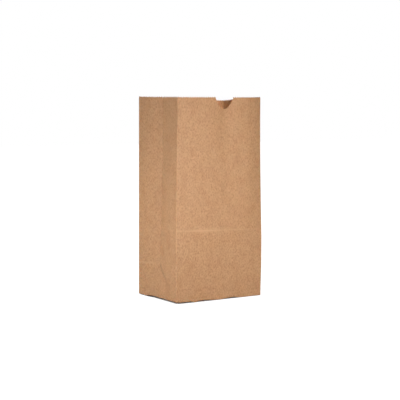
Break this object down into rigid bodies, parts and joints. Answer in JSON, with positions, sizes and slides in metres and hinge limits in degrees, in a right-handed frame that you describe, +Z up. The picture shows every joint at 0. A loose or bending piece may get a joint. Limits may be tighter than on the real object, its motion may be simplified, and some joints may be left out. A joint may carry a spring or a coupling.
{
  "type": "paper lunch bag",
  "caption": "Open flat-bottomed brown kraft paper bag with folded-in side gussets, a saw-cut rim and a thumb notch in its front panel.",
  "frame": {"origin": "middle of the base, on the surface that the bag stands on", "axes": "+Z up the bag towards its open rim, -Y out of the front panel with the thumb notch, +X and -X out of the side gussets"},
  "size_m": [0.125, 0.0959, 0.248],
  "materials": {
    "kraft_paper": "matte"
  },
  "bodies": {
    "root": {"paper_bag": "kraft_paper"}
  },
  "joints": []
}
